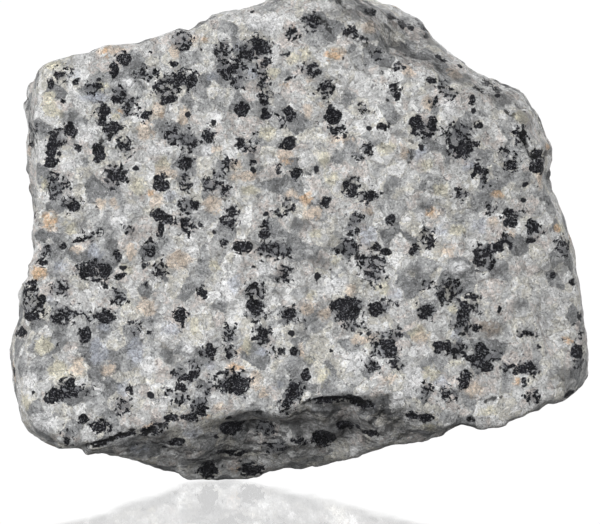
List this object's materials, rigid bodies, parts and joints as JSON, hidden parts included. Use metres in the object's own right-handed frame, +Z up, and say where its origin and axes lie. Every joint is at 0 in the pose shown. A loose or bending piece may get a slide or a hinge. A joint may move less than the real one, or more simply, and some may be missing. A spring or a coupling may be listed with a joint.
{
  "type": "rough rock",
  "caption": "Rough lump of coarse speckled granite, broken on every side, that stands on a flat broken underside.",
  "frame": {"origin": "middle of the part's box, at the height of the flat underside", "axes": "+X to the right along the broad pale face, +Y back from that face through the stone's thickness, +Z up from the underside"},
  "size_m": [0.0944, 0.0614, 0.0799],
  "materials": {
    "granite": "rough broken surface, speckled white, grey, cream and black"
  },
  "bodies": {
    "root": {"granite_stone": "granite"}
  },
  "joints": []
}
